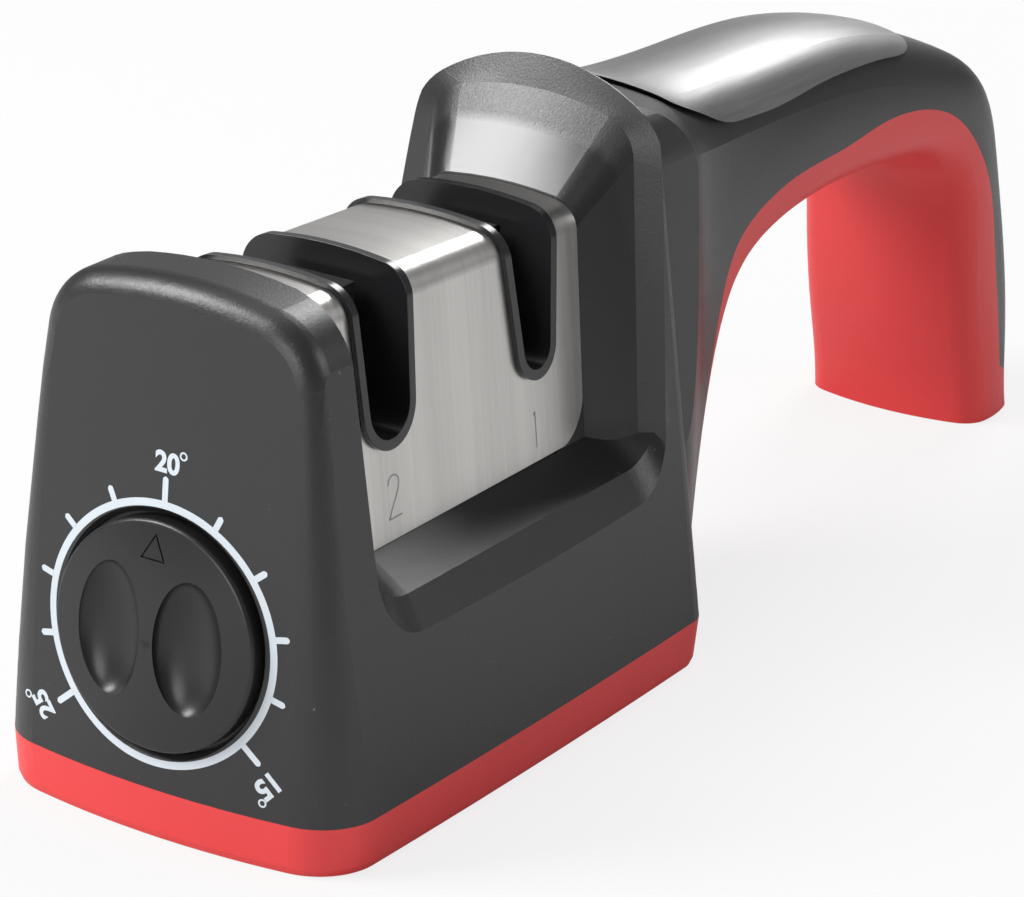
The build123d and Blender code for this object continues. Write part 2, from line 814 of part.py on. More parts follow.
def cam_drum():
    drum = dial_tube(drum_radius, drum_front, drum_front + drum_length)
    drum = drum - dial_tube(core_radius + rod_glue_gap, 0, drum_front + drum_length + overrun)
    return drum - groove(first_groove, False) - groove(second_groove, True)


# How far the domed knob stands proud of the face, at one distance from its axis
def knob_height(at):
    return knob_rim_proud + knob_dome * (1 - (at / knob_radius) ** 2)


def angle_knob():
    plane = dial_plane()
    back = recess_depth - knob_back_gap
    dome_radius = (knob_radius ** 2 + knob_dome ** 2) / (2 * knob_dome)
    dome = plane.offset(knob_height(0) - dome_radius) * Sphere(dome_radius)
    disc = dial_tube(knob_radius, -2 * knob_height(0), back) & dome
    rim = [e for e in disc.edges() if plane.to_local_coords(e.center()).Z > 0]
    disc = fillet([e for e in rim if e.geom_type == GeomType.CIRCLE], knob_edge)
    for side in (-1, 1):
        bowl = scale(Sphere(dimple_short), by=(1, dimple_long / dimple_short, dimple_depth / dimple_short))
        disc = disc - plane.offset(knob_height(dimple_spread)) * Pos(side * dimple_spread, 0, 0) * bowl
    triangle = Polygon(
        (-pointer_width / 2, 0), (pointer_width / 2, 0), (0, pointer_height), align=None
    )
    groove_line = triangle - offset(triangle, -pointer_line)
    mark = extrude(plane * Pos(0, pointer_at) * groove_line, amount=2 * knob_height(0))
    disc = disc - (mark - plane.offset(knob_height(0) - dome_radius) * Sphere(dome_radius - pointer_depth))
    pit_depth = back + detent_radius - detent_dip
    for step in range(-detent_steps, detent_steps + 1):
        turn = Rot(0, 0, step * detent_pitch) * Pos(0, -detent_at, -pit_depth)
        disc = disc - plane * turn * Sphere(detent_radius + moving_gap)
    stem = dial_tube(stem_radius, back, hub_depth + fit_gap)
    core = dial_tube(core_radius, back, drum_front + drum_length - washer_height)
    pilot = dial_tube(screw_radius, drum_front + drum_length / 2, drum_front + drum_length + overrun)
    return disc + stem + core - pilot


# The ball stands clear of the pits, at the height it has between two of them
def ball_depth():
    return recess_depth - knob_back_gap + detent_radius + running_gap


def knob_screw():
    end = drum_front + drum_length + washer_height
    head = dial_tube(screw_head_radius, end, end + screw_head_height)
    return head + dial_tube(screw_radius, drum_front + drum_length / 2 + pilot_spare, end)


def drum_washer():
    start = drum_front + drum_length
    ring = dial_tube(washer_radius, start, start + washer_height)
    return ring - dial_tube(screw_radius + fit_gap, 0, start + 2 * washer_height)


def detent_ball():
    return dial_plane() * Pos(*detent_place(), -ball_depth()) * Sphere(detent_radius)


def detent_spring():
    start = ball_depth() + detent_radius + spring_wire
    path = Helix(pitch=spring_pitch, height=spring_length, radius=spring_radius)
    ring = Plane(origin=path @ 0, z_dir=path % 0) * Circle(spring_wire)
    coil = sweep(ring, path=path)
    return dial_plane() * Pos(*detent_place(), -start - spring_length) * coil


# Black housing: both towers, the valley's skin, the neck and the handle's shell
def upper_housing():
    front, rear = crowned_block()
    pocket_low = (pocket_front_x, -pocket_half, pocket_floor_z)
    pocket = box_between(pocket_low, (pocket_rear_x, pocket_half, block_top))
    body = front + rear - valley() - pocket
    body = body + (rim_and_neck() & rear)
    corner = steel_corner(steel_rear_round, steel_corner_reach)
    body = body + ((steel_form() - steel_form(-steel_sheet)) & corner)
    shell = handle_solid() - liner_region() - tray_block(-overrun, -fit_gap, seam_z, -fit_gap)
    body = body + (shell - valley())
    front_room, rear_room = crowned_block(wall)
    pocket_skin = box_between(
        (0, -pocket_half - wall, pocket_floor_z - pocket_floor),
        (pocket_rear_x, pocket_half + wall, block_top),
    )
    front_part = box_between((0, -body_width, 0), (pocket_front_x - wall, body_width, block_top))
    room = front_room + rear_room - valley(wall) - (pocket_skin - front_part)
    body = body - (room + handle_room())
    lip_inset = wall + tray_lip_gap - fit_gap
    body = body - tray_block(seam_z - overrun, lip_inset, seam_z + tray_lip_height + fit_gap, lip_inset)
    neck_room = rim_and_neck(neck_wall) & box_between(
        (steel_rear_x + wall, -body_width, pocket_floor_z), (body_length, body_width, block_top)
    )
    body = body - neck_room
    boss = dial_tube(boss_radius, 0, boss_depth) + dial_tube(hub_radius, 0, hub_depth)
    boss = boss + dial_tube(detent_radius * 2, 0, hub_depth - fit_gap, detent_place())
    body = body + (boss & (crowned_block()[0]))
    for x in base_screw_x:
        for side in (-1, 1):
            y = side * base_screw_y
            post = rod_between((x, y, seam_z + fit_gap), (x, y, base_post_top), boss_outer)
            body = body + post - rod_between((x, y, 0), (x, y, base_screw_reach()), screw_radius)
    body = body - dial_tube(recess_radius, -front_bow, recess_depth) - recess_cone()
    body = body - dial_tube(stem_radius + running_gap, 0, body_length / 2)
    body = body - dial_tube(detent_radius + running_gap, 0, spring_seat_depth(), detent_place())
    drum_cut = box_between(
        (follower_x(drum_front) - drum_spare, -drum_cut_half, pocket_floor_z - pocket_floor - overrun),
        (follower_x(drum_front + drum_length) + drum_spare, drum_cut_half, pocket_floor_z + overrun),
    )
    body = body - (drum_cut & box_between((drum_cut_x, -body_width, 0), (body_length, body_width, block_top)))
    for x, y in module_screw_places():
        body = body - rod_between((x, y, 0), (x, y, pocket_floor_z + overrun), screw_radius + fit_gap)
    for x in handle_screw_x:
        post = rod_between((x, 0, handle_post_z + fit_gap), (x, 0, block_top), boss_outer)
        body = body + (post & handle_solid(fit_gap))
        body = body - rod_between((x, 0, 0), (x, 0, handle_screw_top()), screw_radius)
    return body


def handle_screw_top():
    return handle_post_z - handle_seat + handle_screw_length


def spring_seat_depth():
    return ball_depth() + detent_radius + 2 * spring_wire + spring_length


def base_screw_reach():
    return tray_seat_z + base_screw_length


# Red tray: shell, posts and the seats of its feet
def tray_face(z, inset):
    return Pos(0, 0, z - seam_z) * plan_face(seam_z, inset)


def tray_block(low, low_inset, high, high_inset):
    return loft([tray_face(low, low_inset), tray_face(high, high_inset)], ruled=True)


def base_tray():
    low = foot_proud
    middle = low + tray_edge_height
    shell = tray_block(middle, tray_draw, seam_z, 0)
    shell = shell + tray_block(low, tray_draw + tray_edge, middle, tray_draw)
    shell = shell - tray_block(low + tray_floor, wall, seam_z + overrun, wall)
    lip_low = seam_z - tray_lip_height
    lip_high = seam_z + tray_lip_height
    lip = tray_block(lip_low, wall + tray_lip_gap, lip_high, wall + tray_lip_gap)
    lip = lip + tray_block(lip_low, wall - fit_gap, seam_z - fit_gap, wall - fit_gap)
    lip_inner = wall + tray_lip_gap + tray_lip
    lip = lip - tray_block(lip_low - overrun, lip_inner, lip_high + overrun, lip_inner)
    shell = shell + lip
    for x in base_screw_x:
        for side in (-1, 1):
            y = side * base_screw_y
            shell = shell + rod_between((x, y, low + tray_floor / 2), (x, y, seam_z), boss_outer)
            shell = shell - rod_between((x, y, 0), (x, y, tray_seat_z), screw_head_radius + fit_gap)
            shell = shell - rod_between((x, y, 0), (x, y, block_top), screw_radius + fit_gap)
    for x, y in foot_places():
        shell = shell - rod_between((x, y, 0), (x, y, foot_height), foot_radius + fit_gap)
    return shell


def foot_places():
    places = []
    for x in (foot_front_x, foot_rear_x):
        for side in (-1, 1):
            places.append((x, side * foot_y))
    return places


def rubber_feet():
    return [rod_between((x, y, 0), (x, y, foot_height), foot_radius) for x, y in foot_places()]


def base_screws():
    screws = []
    for x in base_screw_x:
        for side in (-1, 1):
            y = side * base_screw_y
            head = rod_between((x, y, tray_seat_z - screw_head_height), (x, y, tray_seat_z), screw_head_radius)
            screws.append(head + rod_between((x, y, tray_seat_z), (x, y, base_screw_reach()), screw_radius))
    return screws


def module_screws():
    seat = pocket_floor_z - pocket_floor
    screws = []
    for x, y in module_screw_places():
        head = rod_between((x, y, seat - screw_head_height), (x, y, seat), screw_head_radius)
        screws.append(head + rod_between((x, y, seat), (x, y, seat + module_screw_length), screw_radius))
    return screws


def handle_screws():
    seat = handle_post_z - handle_seat
    screws = []
    for x in handle_screw_x:
        head = rod_between((x, 0, seat - screw_head_height), (x, 0, seat), screw_head_radius)
        screws.append(head + rod_between((x, 0, seat), (x, 0, handle_screw_top()), screw_radius))
    return screws


# Red inner half of the handle, with the foot of its leg
def handle_liner():
    liner = handle_solid() & liner_region()
    liner = liner - handle_room()
    for x in handle_screw_x:
        post = rod_between((x, 0, 0), (x, 0, handle_post_z), boss_outer) & handle_solid(fit_gap)
        liner = liner + post
        liner = liner - rod_between((x, 0, 0), (x, 0, handle_post_z - handle_seat), screw_head_radius + fit_gap)
        liner = liner - rod_between((x, 0, 0), (x, 0, block_top), screw_radius + fit_gap)
    level = box_between((0, -body_width, foot_proud), (2 * handle_length + body_length, body_width, block_top))
    return (liner & level) - foot_pad_form(fit_gap)


def foot_pad_form(grow=0):
    outline = RectangleRounded(foot_pad_length + 2 * grow, foot_pad_width + 2 * grow, foot_pad_round)
    return extrude(Pos(foot_pad_x, 0) * outline, amount=foot_pad_height)


def handle_plate():
    skin = handle_solid(-plate_sheet) - handle_solid(-plate_gap)
    return skin & plate_region()


parts = {
    "upper_housing": upper_housing(),
    "base_tray": base_tray(),
    "handle_liner": handle_liner(),
    "handle_plate": handle_plate(),
    "handle_foot_pad": foot_pad_form(),
    "steel_cover": steel_cover(),
    "slot_trim_fine": slot_trim(fine_slot, fine_blade_x),
    "slot_trim_coarse": slot_trim(coarse_slot, coarse_blade_x),
    "blade_guide_fine": blade_guide(fine_slot, fine_blade_x, fine_guide_half, fine_guide_top),
    "blade_guide_coarse": blade_guide(coarse_slot, coarse_blade_x, coarse_guide_half, coarse_guide_top),
    "module_body": module_body(),
    "module_base_plate": module_base_plate(),
    "angle_knob": angle_knob(),
    "cam_drum": cam_drum(),
    "drum_washer": drum_washer(),
    "knob_screw": knob_screw(),
    "detent_ball": detent_ball(),
    "detent_spring": detent_spring(),
    "slider_bar_a": slider_bar(-1, first_groove),
    "slider_bar_b": slider_bar(1, second_groove),
    "arm_fine_a": arm(-1, fine_blade_x),
    "arm_fine_b": arm(1, fine_blade_x),
    "arm_coarse_a": arm(-1, coarse_blade_x),
    "arm_coarse_b": arm(1, coarse_blade_x),
    "rod_fine_a": rod(-1, fine_blade_x),
    "rod_fine_b": rod(1, fine_blade_x),
    "rod_coarse_a": rod(-1, coarse_blade_x),
    "rod_coarse_b": rod(1, coarse_blade_x),
    "pivot_pins": pivot_pin_pair(fine_blade_x).solids() + pivot_pin_pair(coarse_blade_x).solids(),
    "module_screws": module_screws(),
    "base_screws": base_screws(),
    "handle_screws": handle_screws(),
    "rubber_feet": rubber_feet(),
}

solids = {}
for name, made in parts.items():
    pieces = made if isinstance(made, list) else [made]
    solids[name] = Compound([s for piece in pieces for s in piece.solids()])

box = Compound(list(solids.values())).bounding_box()
middle_x = (box.min.X + box.max.X) / 2
print("shift", -middle_x, "size", box.size)
for name, solid in solids.items():
    found = solid.solids()
    print(name, len(found), round(sum(s.volume for s in found)), all(s.is_valid for s in found))
    export_step(Pos(-middle_x, 0, 0) * solid, f"parts/{name}.step")
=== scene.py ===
import math
import bmesh
import bpy
import numpy as np
from mathutils import Matrix, Vector


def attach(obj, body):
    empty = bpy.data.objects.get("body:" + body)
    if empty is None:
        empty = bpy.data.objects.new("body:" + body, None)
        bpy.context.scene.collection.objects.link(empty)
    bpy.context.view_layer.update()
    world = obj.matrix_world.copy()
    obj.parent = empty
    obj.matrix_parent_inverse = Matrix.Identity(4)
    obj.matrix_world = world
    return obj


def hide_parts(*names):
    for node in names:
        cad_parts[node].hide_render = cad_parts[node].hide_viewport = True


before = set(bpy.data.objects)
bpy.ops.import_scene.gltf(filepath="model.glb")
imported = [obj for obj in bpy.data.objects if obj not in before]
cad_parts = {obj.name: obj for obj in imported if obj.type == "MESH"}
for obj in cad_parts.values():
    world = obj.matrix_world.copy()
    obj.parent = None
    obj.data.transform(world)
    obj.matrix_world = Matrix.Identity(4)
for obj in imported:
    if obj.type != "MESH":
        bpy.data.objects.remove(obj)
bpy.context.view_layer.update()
print("frame loaded")

mm = 0.001

# Where the body's front foot lies in the row frame, and the leaning, bowed face that carries the dial, in mm
body = {
    "shift": -104.420,
    "frontLean": 3.25,
    "bowHeights": (6.9, 17.963, 32.43, 50.301, 92.0),
    "bows": (3.0, 2.1, 1.32, 0.84, 0.3),
    "seamHeight": 6.9,
    "topHeight": 92.0,
    "seamHalf": 26.9,
    "topHalf": 17.25,
}

camera = {
    "place": (-421.998, -313.609, 258.516),   # mm from the front foot; the angles are degrees
    "yaw": 32.132,
    "pitch": -21.291,
    "roll": 2.275,
    "lens": 164.27,
    "shift": (0.0172, -0.0008),
}


# A point in mm from the front foot, in metres in the row frame
def inRow(x, y, z):
    return Vector(((x + body["shift"]) * mm, y * mm, z * mm))


# Camera that looks ahead by yaw and pitch and is then rolled about that direction
def placeCamera(values):
    yaw, pitch, roll = (math.radians(values[k]) for k in ("yaw", "pitch", "roll"))
    ahead = Vector((math.cos(pitch) * math.cos(yaw), math.cos(pitch) * math.sin(yaw), math.sin(pitch)))
    right = ahead.cross(Vector((0, 0, 1))).normalized()
    up = right.cross(ahead)
    turnedRight = math.cos(roll) * right + math.sin(roll) * up
    turnedUp = math.cos(roll) * up - math.sin(roll) * right
    data = bpy.data.cameras.new("photoCamera")
    data.lens = values["lens"]
    data.shift_x, data.shift_y = values["shift"]
    data.clip_start = 0.01
    obj = bpy.data.objects.new("photoCamera", data)
    turn = Matrix((turnedRight, turnedUp, -ahead)).transposed().to_4x4()
    obj.matrix_world = Matrix.Translation(inRow(*values["place"])) @ turn
    bpy.context.collection.objects.link(obj)
    bpy.context.scene.camera = obj


placeCamera(camera)
print("camera placed")


# Shader maths: sums and products of wires add Math nodes
class Wire:
    def __init__(self, tree, socket):
        self.tree, self.socket = tree, socket

    def maths(self, operation, first, second=None):
        node = self.tree.nodes.new("ShaderNodeMath")
        node.operation = operation
        for socket, value in zip(node.inputs, (first, second)):
            if isinstance(value, Wire):
                self.tree.links.new(value.socket, socket)
            elif value is not None:
                socket.default_value = value
        return Wire(self.tree, node.outputs[0])

    def __add__(self, other): return self.maths("ADD", self, other)
    def __radd__(self, other): return self.maths("ADD", other, self)
    def __sub__(self, other): return self.maths("SUBTRACT", self, other)
    def __rsub__(self, other): return self.maths("SUBTRACT", other, self)
    def __mul__(self, other): return self.maths("MULTIPLY", self, other)
    def clamped(self): return self.maths("MINIMUM", self.maths("MAXIMUM", self, 0.0), 1.0)


# A material under construction, with its pattern placed by the object's own coordinates
class Finish:
    def __init__(self, name):
        self.material = bpy.data.materials.new(name)
        self.material.use_nodes = True
        self.tree = self.material.node_tree
        self.shader = self.tree.nodes["Principled BSDF"]
        self.place = self.add("TexCoord", out="Object")

    # A node of a type, with its settings first and then its inputs, wires or plain values
    def add(self, kind, settings=None, inputs=None, out=0):
        node = self.tree.nodes.new("ShaderNode" + kind)
        for key, value in (settings or {}).items():
            setattr(node, key, value)
        for key, value in (inputs or {}).items():
            if isinstance(value, Wire):
                self.tree.links.new(value.socket, node.inputs[key])
            else:
                node.inputs[key].default_value = value
        return Wire(self.tree, node.outputs[out])

    def put(self, **inputs):
        for key, value in inputs.items():
            socket = self.shader.inputs[key.replace("_", " ")]
            if isinstance(value, Wire):
                self.tree.links.new(value.socket, socket)
            else:
                socket.default_value = value

    def noise(self, size, detail=2.0, stretch=(1, 1, 1), roughness=0.5):
        scaled = self.add("VectorMath", {"operation": "MULTIPLY"},
                          {0: self.place, 1: tuple(s / size for s in stretch)})
        return self.add("TexNoise", None, {"Vector": scaled, "Scale": 1.0, "Detail": detail,
                                           "Roughness": roughness})

    def mixed(self, factor, first, second):
        return self.add("Mix", {"data_type": "RGBA"}, {"Factor": factor, 6: first, 7: second}, out=2)

    # 1 where x + lean z is between two values and z is above a third, 0 outside, with soft borders, in mm
    def zone(self, values):
        x, z = (self.add("SeparateXYZ", None, {0: self.place}, out=i) for i in (0, 2))
        along = x * (1.0 / mm) - body["shift"] + z * (values["lean"] / mm)
        rising = ((along - values["from"]) * (1.0 / values["soft"])).clamped()
        falling = ((values["to"] - along) * (1.0 / values["soft"])).clamped()
        above = ((z * (1.0 / mm) - values["above"]) * (1.0 / values["softAbove"])).clamped()
        return rising * falling * above

    def bump(self, height, depth):
        return self.add("Bump", None, {"Height": height, "Distance": depth, "Strength": 1.0})


def colour(rgb):
    return (*rgb, 1.0)


mould = {
    "coarse": 4,            # size of the coarse grain against the fine one
    "fineShare": 0.85,
    "coarseShare": 0.15,
    "drift": 0.02,          # m, size of the slow drift of tone and gloss
    "driftRough": 0.06,
    # pale specks, partly dust and partly painted glints where the grain catches light
    "speck": 0.0009,        # m
    "speckFrom": 0.80,
    "speckGain": 16,
    "smoothing": 0.85,      # share of the grain that a smooth zone takes away
}


# Moulded plastic: fine grain as bump, colour and roughness that drift a little, and a few pale specks that are
# partly dust and partly painted glints of the grain
def moulded(name, values):
    made = Finish(name)
    grain = made.noise(values["grain"], 3.0)
    coarse = made.noise(values["grain"] * mould["coarse"], 2.0)
    drift = made.noise(mould["drift"], 2.0)
    tone = made.mixed(drift, colour(values["dark"]), colour(values["light"]))
    # pale specks in the base colour: partly dust, partly painted glints of the grain
    if "dustAndGlints" in values:
        dustAndGlintSpecks = ((made.noise(mould["speck"], 1.0) - mould["speckFrom"]) * mould["speckGain"]).clamped()
        tone = made.mixed(dustAndGlintSpecks * values["dustAndGlints"], tone, colour(values["pale"]))
    height = grain * mould["fineShare"] + coarse * mould["coarseShare"]
    rough = values["rough"] + (grain - 0.5) * values["roughSpread"] + (drift - 0.5) * mould["driftRough"]
    if "smoothZone" in values:
        zone = made.zone(values["smoothZone"])
        rough = rough + (values["smoothRough"] - rough) * zone
        height = height * (1.0 - zone * mould["smoothing"])
    made.put(Base_Color=tone, Roughness=rough.clamped(), Normal=made.bump(height, values["depth"]),
             Specular_IOR_Level=values["specular"])
    return made.material


brush = {
    "wide": 7,              # size of the wide scratches against the fine ones
    "fineShare": 0.6,
    "wideShare": 0.4,
    "contrast": 1.1,
    "cloud": 0.012,         # m, size of the slow change of gloss
    "cloudRough": 0.05,
}


# Brushed sheet: scratches that are long one way and fine the other, over slow bands of painted sheen across
# them that stand in for the broad light and shade of the brushed reflection
def brushed(name, values):
    made = Finish(name)
    fine = made.noise(values["line"], 3.0, values["stretch"], 0.7)
    wide = made.noise(values["line"] * brush["wide"], 2.0, values["stretch"], 0.6)
    # painted sheen: slow lighter and darker bands in the base colour in place of the reflection's broad shading
    bands = made.noise(values["band"], 1.0, values["stretch"])
    cloud = made.noise(brush["cloud"], 2.0)
    streak = fine * brush["fineShare"] + wide * brush["wideShare"]
    shade = ((streak - 0.5) * brush["contrast"] + (bands - 0.5) * values["bandShare"] + 0.5).clamped()
    tone = made.mixed(shade, colour(values["dark"]), colour(values["light"]))
    rough = values["rough"] + (streak - 0.5) * values["roughSpread"] + (cloud - 0.5) * brush["cloudRough"]
    made.put(Base_Color=tone, Metallic=1.0, Roughness=rough.clamped(),
             Normal=made.bump(streak, values["depth"]))
    return made.material


plastics = {
    "blackBody": {"dark": (0.0105, 0.0106, 0.0112), "light": (0.0135, 0.0137, 0.0145), "grain": 0.00034,
                  "depth": 0.00003, "rough": 0.39, "roughSpread": 0.18, "specular": 0.60, "dustAndGlints": 0.8,
                  "pale": (0.16, 0.16, 0.165), "smoothRough": 0.25,
                  "smoothZone": {"from": 77.6, "to": 86.2, "lean": 0.06, "soft": 1.0, "above": 35.0,
                                 "softAbove": 2.0}},
    "blackTrim": {"dark": (0.010, 0.010, 0.011), "light": (0.014, 0.014, 0.015), "grain": 0.0006,
                  "depth": 0.000008, "rough": 0.24, "roughSpread": 0.05, "specular": 0.5},
    "blackGuide": {"dark": (0.008, 0.008, 0.009), "light": (0.013, 0.013, 0.014), "grain": 0.0005,
                   "depth": 0.00002, "rough": 0.42, "roughSpread": 0.08, "specular": 0.3},
    "blackKnob": {"dark": (0.011, 0.011, 0.012), "light": (0.015, 0.015, 0.016), "grain": 0.0005,
                  "depth": 0.000012, "rough": 0.33, "roughSpread": 0.06, "specular": 0.45},
    "redBody": {"dark": (0.64, 0.044, 0.046), "light": (0.72, 0.054, 0.055), "grain": 0.0005,
                "depth": 0.00002, "rough": 0.44, "roughSpread": 0.08, "specular": 0.35, "dustAndGlints": 0.06,
                "pale": (0.4, 0.4, 0.4)},
    "whiteMoving": {"dark": (0.66, 0.66, 0.62), "light": (0.74, 0.74, 0.70), "grain": 0.0006,
                    "depth": 0.00001, "rough": 0.38, "roughSpread": 0.05, "specular": 0.5},
    "ceramic": {"dark": (0.74, 0.72, 0.66), "light": (0.82, 0.80, 0.75), "grain": 0.0002,
                "depth": 0.00002, "rough": 0.55, "roughSpread": 0.10, "specular": 0.5},
    "footRubber": {"dark": (0.018, 0.018, 0.018), "light": (0.030, 0.030, 0.030), "grain": 0.0004,
                   "depth": 0.00005, "rough": 0.75, "roughSpread": 0.10, "specular": 0.5},
    "dialPrint": {"dark": (0.52, 0.57, 0.61), "light": (0.58, 0.63, 0.67), "grain": 0.0003,
                  "depth": 0.00001, "rough": 0.45, "roughSpread": 0.08, "specular": 0.5},
}
metals = {
    # band and bandShare set the size and strength of the painted sheen bands
    "brushedCover": {"dark": (0.47, 0.460, 0.440), "light": (0.75, 0.735, 0.705), "line": 0.00022,
                     "stretch": (1, 0.008, 0.008), "depth": 0.000010, "rough": 0.33, "roughSpread": 0.18,
                     "band": 0.006, "bandShare": 0.7},
    "brushedPlate": {"dark": (0.24, 0.24, 0.24), "light": (0.40, 0.40, 0.40), "line": 0.00022,
                     "stretch": (0.008, 1, 1), "depth": 0.000008, "rough": 0.38, "roughSpread": 0.16,
                     "band": 0.005, "bandShare": 0.5},
    "engraving": {"dark": (0.24, 0.235, 0.225), "light": (0.40, 0.39, 0.38), "line": 0.00022,
                  "stretch": (1, 0.008, 0.008), "depth": 0.000010, "rough": 0.45, "roughSpread": 0.18,
                  "band": 0.006, "bandShare": 0.5},
    "hardware": {"dark": (0.48, 0.48, 0.48), "light": (0.60, 0.60, 0.60), "line": 0.0004,
                 "stretch": (1, 1, 1), "depth": 0.000010, "rough": 0.35, "roughSpread": 0.12,
                 "band": 0.004, "bandShare": 0.3},
    "diamondRod": {"dark": (0.16, 0.16, 0.17), "light": (0.42, 0.42, 0.44), "line": 0.00018,
                   "stretch": (1, 1, 1), "depth": 0.00006, "rough": 0.55, "roughSpread": 0.25,
                   "band": 0.002, "bandShare": 0.3},
}
finishes = {name: moulded(name, values) for name, values in plastics.items()}
finishes.update({name: brushed(name, values) for name, values in metals.items()})

nodeFinish = {
    "upper_housing": "blackBody", "base_tray": "redBody", "handle_liner": "redBody",
    "handle_plate": "brushedPlate", "steel_cover": "brushedCover", "handle_foot_pad": "footRubber",
    "rubber_feet": "footRubber", "slot_trim_fine": "blackTrim", "slot_trim_coarse": "blackTrim",
    "blade_guide_fine": "blackGuide", "blade_guide_coarse": "blackGuide", "module_body": "blackGuide",
    "module_base_plate": "blackGuide", "angle_knob": "blackKnob", "cam_drum": "whiteMoving",
    "slider_bar_a": "whiteMoving", "slider_bar_b": "whiteMoving", "arm_fine_a": "whiteMoving",
    "arm_fine_b": "whiteMoving", "arm_coarse_a": "whiteMoving", "arm_coarse_b": "whiteMoving",
    "drum_washer": "hardware", "knob_screw": "hardware", "detent_ball": "hardware",
    "detent_spring": "hardware", "pivot_pins": "hardware", "module_screws": "hardware",
    "base_screws": "hardware", "handle_screws": "hardware", "rod_fine_a": "ceramic",
    "rod_fine_b": "ceramic", "rod_coarse_a": "diamondRod", "rod_coarse_b": "diamondRod",
}
for nodeName, finishName in nodeFinish.items():
    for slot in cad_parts[nodeName].material_slots:
        slot.material = finishes[finishName]
print("finishes set")


lip = {
    "nodes": ("slot_trim_fine", "slot_trim_coarse"),
    "merge": 0.000002,      # m
    "flat": 1.0,
    "sharp": 40,            # degrees
    "width": 0.00045,       # m
    "segments": 3,
}


# A copy of a CAD node with its loose triangles merged and its sharp edges bevelled
def softened(nodeName, values):
    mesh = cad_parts[nodeName].data.copy()
    work = bmesh.new()
    work.from_mesh(mesh)
    bmesh.ops.remove_doubles(work, verts=work.verts[:], dist=values["merge"])
    bmesh.ops.dissolve_limit(work, angle_limit=math.radians(values["flat"]), verts=work.verts[:],
                             edges=work.edges[:])
    work.to_mesh(mesh)
    work.free()
    mesh.materials.clear()
    mesh.materials.append(finishes[nodeFinish[nodeName]])
    mesh.polygons.foreach_set("use_smooth", [True] * len(mesh.polygons))
    mesh.set_sharp_from_angle(angle=math.radians(values["sharp"]))
    obj = bpy.data.objects.new(nodeName + "Soft", mesh)
    bpy.context.collection.objects.link(obj)
    bevel = obj.modifiers.new("lip", "BEVEL")
    bevel.width = values["width"]
    bevel.segments = values["segments"]
    bevel.limit_method = "ANGLE"
    bevel.angle_limit = math.radians(values["sharp"])
    bevel.harden_normals = True
    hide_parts(nodeName)
    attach(obj, "housing")


for nodeName in lip["nodes"]:
    softened(nodeName, lip)
print("edges softened")


# Quads of a grid with rows x columns points; a closed grid joins its last column to its first
def gridFaces(rows, columns, closed=False):
    r, c = np.meshgrid(np.arange(rows - 1), np.arange(columns if closed else columns - 1), indexing="ij")
    right = (c + 1) % columns
    low, high = r * columns, (r + 1) * columns
    return np.stack([low + c, low + right, high + right, high + c], -1).reshape(-1, 4)


# A point across and up from the dial's middle, on the body's front face: x = z tan(lean) + R - sqrt(R^2 - y^2),
# where R = (end^2 + bow^2) / (2 bow) and the bow falls with the height
def onFace(across, up, lift):
    z = dial["height"] + up * math.cos(math.radians(body["frontLean"]))
    share = (z - body["seamHeight"]) / (body["topHeight"] - body["seamHeight"])
    end = body["seamHalf"] * (1 - share) + body["topHalf"] * share
    bow = np.interp(z, body["bowHeights"], body["bows"])
    radius = (end ** 2 + bow ** 2) / (2 * bow)
    x = z * math.tan(math.radians(body["frontLean"])) + radius - np.sqrt(radius ** 2 - across ** 2) - lift
    return np.stack([(x + body["shift"]) * mm, -across * mm, z * mm], -1)


dial = {
    "height": 27.39,
    "inner": 16.35,
    "outer": 17.35,
    "ringPoints": (4, 240),
    "ticks": 11,
    "pitch": 26.15,
    "shortTick": 1.95,
    "longTick": 3.2,
    "tickWidth": 0.85,
    "tickRoot": 0.1,        # how far a tick starts within the ring
    "tickPoints": (5, 9),
    "tickRound": 0.75,      # share of a tick's points before its round end
    "tickEnd": 0.02,        # square of the end's least width, as a share
    "lift": 0.02,
    # angle and radius of each word, and of its degree ring
    "labels": {
        "20": (0.3, 22.35, 6.0, 23.8),
        "15": (133.9, 23.1, 138.6, 24.35),
        "25": (-128.8, 23.2, -123.9, 25.0),
    },
    "digitHeight": 2.85,
    "bold": 0.038,
    "degreeRadius": 0.46,
    "degreeWidth": 0.24,
    "degreePoints": 20,
}


# Ring: a circle of radius r at angle a gives (r sin a, r cos a) on the face
def dialRing(values):
    rows, columns = values["ringPoints"]
    angle = np.linspace(0, 2 * math.pi, columns, endpoint=False)
    radius = np.linspace(values["inner"], values["outer"], rows)
    r, a = np.meshgrid(radius, angle, indexing="ij")
    points = onFace(r * np.sin(a), r * np.cos(a), values["lift"]).reshape(-1, 3)
    return points, gridFaces(rows, columns, closed=True)


